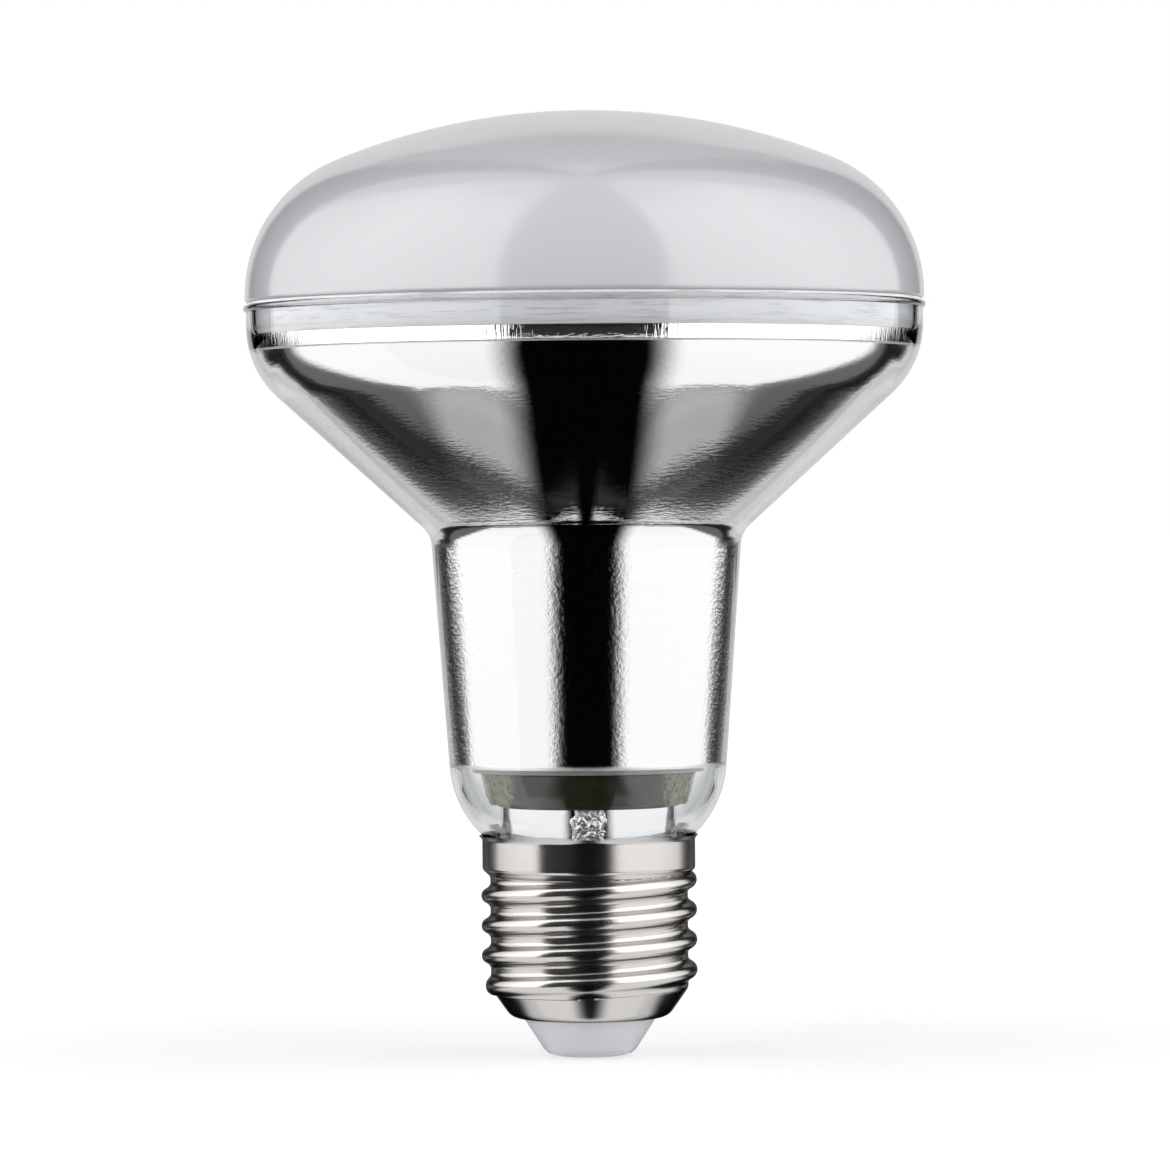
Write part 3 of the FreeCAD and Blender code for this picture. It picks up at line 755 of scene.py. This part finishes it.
class BULB_OT_cap_end(bpy.types.Operator):
    """White insulator and the centre contact in it"""

    bl_idname = "bulb.cap_end"
    bl_label = "Cap End"

    def execute(self, context):
        sizes = context.scene.bulb_end
        cap = context.scene.bulb_cap
        colours = context.scene.bulb_colours
        plug = cap.foot + cap.sheet
        body = rounded([
            (sizes.bore_radius, sizes.contact_height, 0.0),
            (sizes.edge_radius, sizes.contact_height, sizes.edge_round),
            (sizes.nose_radius, sizes.nose_height, sizes.nose_round),
            (cap.hole_radius, cap.foot, 0.0),
            (cap.hole_radius, plug, 0.0),
            (sizes.plug_radius, plug, sizes.nose_round),
            (sizes.plug_radius, plug + sizes.plug_height, sizes.plug_round),
            (sizes.bore_radius, plug + sizes.plug_height, 0.0),
        ])
        white = insulator_finish(colours.insulator)
        turned("insulator", body, white, slot="white_insulator", replaces=["cap_insulator"])
        rivet = sizes.bore_radius - GAP
        rivet_bore = rivet - sizes.contact_sheet
        stem_top = sizes.contact_height + sizes.stem_length
        disc = [(0.0, 0.0)] + [(radius * MM, height * MM) for radius, height in CONTACT_CURVE] + [
            (sizes.contact_radius, sizes.contact_height - GAP),
            (rivet, sizes.contact_height - GAP),
            (rivet, stem_top),
            (rivet_bore, stem_top),
            (rivet_bore, sizes.contact_sheet),
            (0.0, sizes.contact_sheet),
        ]
        metal = contact_finish(colours.contact)
        turned("contact", disc, metal, slot="contact_metal", replaces=["centre_contact"])
        return {"FINISHED"}


def cup_finish(polished):
    """Polished metal with faint dents and a crumpled scar on its front."""
    finish = Finish("polished_cup", Base_Color=polished, Metallic=1.0)
    where = finish.add("ShaderNodeSeparateXYZ", None, [finish.place()])
    side = where.math("ABSOLUTE", where.out("X"))
    ahead = where.out("Y") * -1.0
    dents = finish.noise(finish.place(), 0.5, 2.0)
    crumple = finish.noise(finish.place(), 0.9, 3.0, 0.5)
    scar = (1.0 - (side + crumple * 2.0).smooth(2.4, 2.9)) * ahead.smooth(4.0, 6.0)
    finish.set(Roughness=scar * 0.25 + 0.06)
    finish.set(Normal=finish.bump(dents * 0.1 + crumple * scar * 4.0, 0.2 * MM))
    return finish.material


def olive_glue_finish(smooth, pale):
    """Olive glue, dark in front, with painted light that makes it pale at its sides."""
    finish = Finish("olive_glue", Roughness=0.25, Coat_Weight=0.1, Coat_Roughness=0.12)
    where = finish.add("ShaderNodeSeparateXYZ", None, [finish.place()])
    side = where.math("ABSOLUTE", where.out("X"))
    cloud = finish.noise(finish.place(), 1.6, 4.0, 0.6)
    # Painted light: the glue is paler towards its sides, left and right of the front, where the soft boxes
    # light it
    lit_sides = (side + cloud * 2.4).smooth(9.6, 11.0) * cloud.smooth(0.3, 0.55)
    finish.set(Base_Color=finish.blend(lit_sides, smooth, pale))
    finish.set(Normal=finish.bump(cloud, 0.04 * MM))
    return finish.material


class BULB_OT_heat_spreader(bpy.types.Operator):
    """Polished cup at the neck's foot and the olive glue round it"""

    bl_idname = "bulb.heat_spreader"
    bl_label = "Heat Spreader"

    def execute(self, context):
        sizes = context.scene.bulb_inside
        self.add_cup(sizes, context.scene.bulb_colours)
        self.add_glue(sizes, context.scene.bulb_colours)
        return {"FINISHED"}

    def add_cup(self, sizes, colours):
        bore = sizes.spreader_radius - sizes.spreader_wall
        ceiling = sizes.spreader_top - sizes.spreader_wall
        cup = rounded([
            (sizes.spreader_hole, sizes.spreader_top, 0.0),
            (sizes.spreader_radius, sizes.spreader_top, sizes.spreader_round),
            (sizes.spreader_radius, sizes.spreader_foot, 0.1 * MM),
            (bore, sizes.spreader_foot, 0.1 * MM),
            (bore, ceiling, 0.2 * MM),
            (sizes.spreader_hole, ceiling, 0.0),
        ])
        polished = cup_finish(colours.cup)
        turned("polished_cup", cup, polished, slot="polished_aluminium", replaces=["heat_spreader"])

    def add_glue(self, sizes, colours):
        inner = sizes.spreader_radius + GLUE_GAP

        def ragged(turn, radius, height):
            if radius < inner + 0.17 * MM:
                return radius, height
            place = Vector((math.cos(turn), math.sin(turn), 0.0))
            wobble = noise.noise(place * 9 + Vector((0, 0, height * 900)))
            low = max(0.0, 1 - (height - sizes.glue_foot) / (1.2 * MM))
            lift = sizes.ragged * low * (1 + noise.noise(place * 5))
            return radius - 0.12 * MM * (1 + wobble), height + lift

        outline = finer(rounded([
            (inner, sizes.glue_top, 0.0),
            (sizes.glue_top_radius, sizes.glue_top, sizes.glue_round),
            (sizes.glue_foot_radius, sizes.glue_foot, sizes.glue_round),
            (inner, sizes.glue_foot, 0.0),
        ]), 0.4 * MM)
        olive = olive_glue_finish(colours.glue, colours.lit_glue)
        turned("olive_glue", outline, olive, slot="olive_glue", replaces=["thermal_adhesive"], change=ragged)


# Colour, roughness, share of metal, scale of the grain and height of the grain in millimetres
INNER_FINISHES = {
    "capping_cement": ((0.62, 0.58, 0.50), 0.9, 0.0, 2.5, 0.12),
    "thermal_pad": ((0.55, 0.60, 0.66), 0.7, 0.0, 1.5, 0.03),
    "led_board": ((0.86, 0.86, 0.84), 0.35, 0.0, 1.2, 0.01),
    "led_chips": ((0.85, 0.68, 0.12), 0.45, 0.0, 3.0, 0.02),
    "led_leads": ((0.62, 0.08, 0.05), 0.4, 0.0, 2.0, 0.01),
    "driver_housing": ((0.80, 0.79, 0.75), 0.5, 0.0, 1.5, 0.03),
    "driver_board": ((0.07, 0.22, 0.10), 0.4, 0.0, 1.0, 0.02),
    "input_capacitor": ((0.03, 0.04, 0.08), 0.35, 0.0, 1.0, 0.01),
    "output_capacitor": ((0.05, 0.05, 0.05), 0.35, 0.0, 1.0, 0.01),
    "film_capacitor": ((0.45, 0.07, 0.04), 0.3, 0.0, 1.0, 0.02),
    "transformer_core": ((0.07, 0.07, 0.08), 0.6, 0.0, 3.0, 0.04),
    "transformer_winding": ((0.80, 0.60, 0.12), 0.4, 0.0, 2.0, 0.03),
    "line_choke": ((0.45, 0.22, 0.10), 0.35, 0.5, 3.0, 0.05),
    "bridge_rectifier": ((0.03, 0.03, 0.03), 0.5, 0.0, 3.0, 0.02),
    "controller_chip": ((0.04, 0.04, 0.045), 0.5, 0.0, 3.0, 0.02),
    "fusible_resistor": ((0.20, 0.36, 0.42), 0.4, 0.0, 2.0, 0.02),
    "shell_lead": ((0.78, 0.78, 0.76), 0.3, 0.8, 1.5, 0.01),
}


def inner_finish(name, base, roughness, metallic, scale, bump):
    """A finish for a part inside the bulb, with a little variation in colour and surface."""
    finish = Finish(name + "_finish", Metallic=metallic)
    cloud = finish.noise(finish.place(), scale, 3.0)
    dark = tuple(0.82 * c for c in base)
    finish.set(
        Base_Color=finish.blend(cloud, dark, base),
        Roughness=roughness - 0.1 + cloud * 0.2,
        Normal=finish.bump(cloud, bump * MM),
    )
    return finish.material


class BULB_OT_inner_parts(bpy.types.Operator):
    """Finishes of the driver, light source and other parts inside the bulb"""

    bl_idname = "bulb.inner_parts"
    bl_label = "Inner Parts"

    def execute(self, context):
        for name, (base, roughness, metallic, scale, bump) in INNER_FINISHES.items():
            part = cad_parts[name]
            part.data.materials.clear()
            part.data.materials.append(inner_finish(name, base, roughness, metallic, scale, bump))
        return {"FINISHED"}


def stage_sheet(name, rows, material, seen_by_camera=True):
    """A sheet of the stage through rows of points."""
    points = [point for row in rows for point in row]
    across = len(rows[0])
    faces = []
    for i in range(len(rows) - 1):
        for j in range(across - 1):
            a = i * across + j
            faces.append((a, a + 1, a + across + 1, a + across))
    mesh = bpy.data.meshes.new(name)
    mesh.from_pydata(points, [], faces)
    mesh.shade_smooth()
    mesh.materials.append(material)
    sheet = bpy.data.objects.new(name, mesh)
    bpy.context.scene.collection.objects.link(sheet)
    sheet.visible_camera = seen_by_camera
    return sheet


def around_object(radius, turn, rise):
    """A point on a sphere round the bulb; turn 0 is towards the camera and positive to its right."""
    return (
        radius * math.cos(rise) * math.sin(turn),
        -radius * math.cos(rise) * math.cos(turn),
        MIDDLE + radius * math.sin(rise),
    )


def even_angles(first, last, count):
    """Angles from the first to the last, given in degrees, in equal steps."""
    return [math.radians(first + (last - first) * i / count) for i in range(count + 1)]


def dome_sheet(name, radius, edges, rises, material):
    """A sheet on a sphere round the bulb; edges gives its two edges at each rise."""
    rows = []
    for rise in rises:
        first, last = edges(rise)
        rows.append([around_object(radius, first + (last - first) * i / 16, rise) for i in range(17)])
    return stage_sheet(name, rows, material, seen_by_camera=False)


def level_rows(height, radii):
    """Rings of points at a height, for a sheet round the bulb."""
    turns = [math.tau * i / 64 for i in range(65)]
    return [[(reach * math.cos(turn), reach * math.sin(turn), height) for turn in turns] for reach in radii]


class StagePlaces:
    """Places on the stage, in millimetres and in degrees round the bulb from the front."""

    # The cloth in front: its half width close to the bulb, and its spread further out
    STRIP = 20.5
    SPREAD = 0.425
    # The wings behind: where their outer strip, their core and their inner edge lie far out
    OUTER = 118.0
    CORE = 123.0
    INNER = 144.4
    # Distance over which the wings' tails turn forward close to the bulb
    TAIL = 34.0

    def __init__(self, nodes):
        place = nodes.add("ShaderNodeSeparateXYZ", None, [nodes.place()])
        self.side = place.math("ABSOLUTE", place.out("X"))
        self.ahead = place.out("Y") * -1.0
        self.reach = place.math("SQRT", self.side * self.side + self.ahead * self.ahead)
        self.turn = place.math("ARCTAN2", self.side, self.ahead) * (180.0 / math.pi)

    def tail(self):
        """A share that falls with the distance from the bulb."""
        return self.reach.math("EXPONENT", self.reach * (-1.0 / self.TAIL))

    def front(self):
        """A cloth in front that narrows towards the bulb down to a strip."""
        spread = self.reach * self.SPREAD
        width = spread.math("SQRT", spread * spread + self.STRIP ** 2)
        return (1.0 - (self.side / width).smooth(0.78, 1.3)) * self.ahead.smooth(-2.0, 4.0)

    def front_of_cap(self):
        """The cloth as the cap sees it, a wedge that starts just before the cap."""
        ahead = self.ahead - 6.0
        return (1.0 - (self.side - ahead * 0.42).smooth(-2.0, 2.0)) * ahead.smooth(0.0, 4.0)

    def wings_of_cap(self):
        """The cloths behind as the cap sees them."""
        near = 1.0 - self.reach.smooth(14.0, 30.0)
        return (self.turn + near * 32.0).smooth(98.0, 118.0) * (1.0 - self.turn.smooth(140.0, 150.0))

    def past_wings(self):
        """How far a place lies past the inner edge of the wings, in degrees."""
        dip = self.reach.smooth(160.0, 200.0) * (1.0 - self.reach.smooth(300.0, 420.0))
        far = self.reach.smooth(300.0, 600.0)
        return self.turn - (self.INNER - self.tail() * 135.0 - dip * 7.0 + far * 4.0)

    def wings(self):
        """Two cloths behind at the sides, each with a paler strip along its outer edge."""
        share = self.reach * (1.0 / 160.0)
        bell = share.math("EXPONENT", share * share * -1.0)
        near = 60.5 - self.reach
        near = near.math("MAXIMUM", near, 0.0)
        outer = self.turn - (self.OUTER - bell * 30.0 - near * 1.45)
        core = self.turn - (self.CORE - self.tail() * 117.0)
        far = self.reach.smooth(50.0, 62.0)
        smoke = outer.smooth(-4.0, 1.0) * (1.0 - outer.smooth(3.0, 9.0)) * (1.0 - far)
        strip = outer.smooth(-4.0, 4.0) * (0.56 + far * 0.31) + smoke * 0.14
        shape = strip.math("MAXIMUM", strip, core.smooth(-3.0, 3.0) * 0.985)
        paler = self.reach.smooth(450.0, 1000.0) * 0.15
        return shape * (1.0 - self.past_wings().smooth(-3.5, 3.5)) * (1.0 - paler)

    def behind(self):
        """How much darker the floor behind the bulb looks in reflections than the floor beside it: painted
        shade.
        """
        past = self.past_wings()
        depth = 0.17 + self.reach.smooth(45.0, 75.0) * (0.09 + (1.0 - past.smooth(3.0, 16.0)) * 0.22)
        return past.smooth(0.0, 5.0) * depth


class BULB_OT_studio(bpy.types.Operator):
    """Pale floor and backdrop, two large soft boxes, dark flags and the camera"""

    bl_idname = "bulb.studio"
    bl_label = "Studio"

    def execute(self, context):
        studio = context.scene.bulb_studio
        self.add_floor()
        self.add_boxes(studio)
        self.add_flags(studio)
        self.add_world()
        self.add_camera(studio)
        context.scene.view_settings.view_transform = "Standard"
        return {"FINISHED"}

    def add_floor(self):
        """White to the camera, with the bulb's shadow, and another pattern of greys in the mirror."""
        finish = Material("pale_floor")
        floor = StagePlaces(finish)
        path = finish.add("ShaderNodeLightPath")
        glow = finish.mix(floor.reach.smooth(20.0, 250.0), finish.glow(0.68), finish.glow(1.0))
        lit = finish.add("ShaderNodeAddShader", None, [finish.cloth(0.35), glow])
        # Painted shade seen only in reflections: the floor is darker behind the bulb and a little darker
        # near it
        darker = floor.behind() + (1.0 - floor.reach.smooth(60.0, 160.0)) * 0.04
        reflected = finish.mix(darker, finish.glow(1.03), finish.glow(0.0))
        other = finish.mix(finish.off_bulb(path), finish.cloth(0.8), reflected)
        material = finish.end(finish.mix(path.out("Is Camera Ray"), other, lit))
        stage_sheet("floor", level_rows(0.0, [0.0, 0.03, 0.1, 0.3, 1.0, 4.0, 15.0]), material)

    def add_floor_flags(self):
        """Black cloths laid on the floor in front and behind to each side, seen only in reflections."""
        finish = Material("black_cloths")
        floor = StagePlaces(finish)
        path = finish.add("ShaderNodeLightPath")
        straight = 1.0 - path.out("Is Transmission Ray")
        off_cap = straight * (1.0 - path.out("Ray Length").smooth(0.045, 0.06))
        seen_in_glass = (1.0 - floor.front()) * (1.0 - floor.wings())
        seen_in_cap = (1.0 - floor.front_of_cap()) * (1.0 - floor.wings_of_cap())
        cover = 1.0 - (seen_in_cap * off_cap + seen_in_glass * (1.0 - off_cap))
        clear = finish.add("ShaderNodeBsdfTransparent")
        material = finish.end(finish.mix(cover, clear, finish.cloth(0.001)))
        rings = [0.0, 0.03, 0.1, 0.3, 1.0, 2.5]
        return stage_sheet("floor_flags", level_rows(0.2 * MM, rings), material, seen_by_camera=False)

    def add_cap_card(self, black):
        """A low black card in front, seen only by the cap, the dome and the glass's outer face."""
        reach = 0.06
        line = [(reach * math.sin(turn), -reach * math.cos(turn)) for turn in even_angles(-50, 22, 8)]
        rows = [[(x, y, height) for x, y in line] for height in (0.0, 0.085)]
        card = stage_sheet("cap_card", rows, black, seen_by_camera=False)
        card.visible_transmission = False
        return card

    def add_high_card(self):
        """A grey card high behind, seen only by the cap, the dome and the glass's outer face."""
        finish = Material("grey_card")
        grey = finish.end(finish.glow(0.38))
        edges = (math.radians(150), math.radians(210))
        rises = even_angles(36, 74, 6)
        card = dome_sheet("high_card", FLAG_REACH, lambda rise: edges, rises, grey)
        card.visible_transmission = False
        return card

    def add_boxes(self, studio):
        """Soft boxes to each side, dimmer towards their back edge and their top."""
        finish = Material("soft_box")
        place = StagePlaces(finish)
        high = 1.0 - place.reach.smooth(250.0, 750.0)
        dim = high.math("MAXIMUM", place.turn.smooth(75.0, 125.0), high)
        light = finish.end(finish.mix(dim, finish.glow(studio.lamp), finish.glow(studio.back_lamp)))
        for side, word in SIDES:

            def edges(rise):
                back = studio.back_edge - max(rise - math.radians(30), 0.0) * 0.8
                return side * studio.front_gap, side * back

            dome_sheet("soft_box_" + word, BOX_REACH, edges, even_angles(-2, 82, 12), light)

    def add_flags(self, studio):
        """Dark flags in front and behind, with the cloths and cards; they cast no shadow."""
        finish = Material("black_flag")
        black = finish.end(finish.cloth(0.001))
        gap = (-studio.front_gap, studio.front_gap)
        front = dome_sheet("flag_front", FLAG_REACH, lambda rise: gap, even_angles(-3, 15, 6), black)
        front.visible_glossy = False
        sheets = [front]
        rises = even_angles(-3, 90, 12)
        for side, word in SIDES:
            edges = (side * studio.back_edge, side * studio.flag_edge)
            sheets.append(dome_sheet("flag_back_" + word, FLAG_REACH, lambda rise: edges, rises, black))
        sheets += [self.add_floor_flags(), self.add_cap_card(black), self.add_high_card()]
        for sheet in sheets:
            sheet.visible_shadow = False
            sheet.visible_diffuse = False

    def add_world(self):
        """White to the camera, pale grey in reflections and a little fill light for the rest."""
        world = bpy.data.worlds.new("studio_world")
        bpy.context.scene.world = world
        nodes = Nodes(world)
        path = nodes.add("ShaderNodeLightPath")
        fill, reflected, seen = [
            nodes.add("ShaderNodeBackground", None, {"Color": WHITE, "Strength": level})
            for level in (0.15, 0.74, 1.0)
        ]
        around = nodes.mix(nodes.off_bulb(path), fill, reflected)
        surface = nodes.mix(path.out("Is Camera Ray"), around, seen)
        nodes.add("ShaderNodeOutputWorld", None, {"Surface": surface})

    def add_camera(self, studio):
        data = bpy.data.cameras.new("camera")
        camera = bpy.data.objects.new("camera", data)
        bpy.context.scene.collection.objects.link(camera)
        bpy.context.scene.camera = camera
        data.sensor_width = 36.0
        data.lens = studio.lens
        data.clip_start = 0.01
        data.clip_end = 20.0
        eye = Vector((-0.0002, -0.754, 0.066))
        aim = Vector((-0.0002, 0.0, 0.057))
        turn = (aim - eye).to_track_quat("-Z", "Y").to_matrix().to_4x4()
        camera.matrix_world = Matrix.Translation(eye) @ turn @ Matrix.Rotation(studio.roll, 4, "Z")


class BULB_PT_panel(bpy.types.Panel):
    """The bulb's pieces and its studio"""

    bl_idname = "BULB_PT_panel"
    bl_label = "Reflector Bulb"
    bl_space_type = "VIEW_3D"
    bl_region_type = "UI"
    bl_category = "Bulb"

    def draw(self, context):
        for operator in OPERATORS:
            self.layout.operator(operator.bl_idname)
        for name in GROUPS:
            group = getattr(context.scene, name)
            for key in group.__annotations__:
                self.layout.prop(group, key)


GROUPS = {
    "bulb_glass": BulbGlassSizes,
    "bulb_mirror": BulbMirrorSizes,
    "bulb_dome": BulbDomeSizes,
    "bulb_cap": BulbCapSizes,
    "bulb_end": BulbEndSizes,
    "bulb_inside": BulbInsideSizes,
    "bulb_colours": BulbColours,
    "bulb_studio": BulbStudio,
}

OPERATORS = [
    BULB_OT_glass_body,
    BULB_OT_mirror_film,
    BULB_OT_front_dome,
    BULB_OT_rim_adhesive,
    BULB_OT_screw_cap,
    BULB_OT_cap_end,
    BULB_OT_heat_spreader,
    BULB_OT_inner_parts,
    BULB_OT_studio,
]


def register():
    for cls in [*GROUPS.values(), *OPERATORS, BULB_PT_panel]:
        bpy.utils.register_class(cls)
    for name, group in GROUPS.items():
        setattr(bpy.types.Scene, name, bpy.props.PointerProperty(type=group))


def unregister():
    for name in GROUPS:
        delattr(bpy.types.Scene, name)
    for cls in [BULB_PT_panel, *reversed(OPERATORS), *GROUPS.values()]:
        bpy.utils.unregister_class(cls)


def main():
    register()
    for operator in OPERATORS:
        group, name = operator.bl_idname.split(".")
        getattr(getattr(bpy.ops, group), name)()


if __name__ == "__main__":
    main()
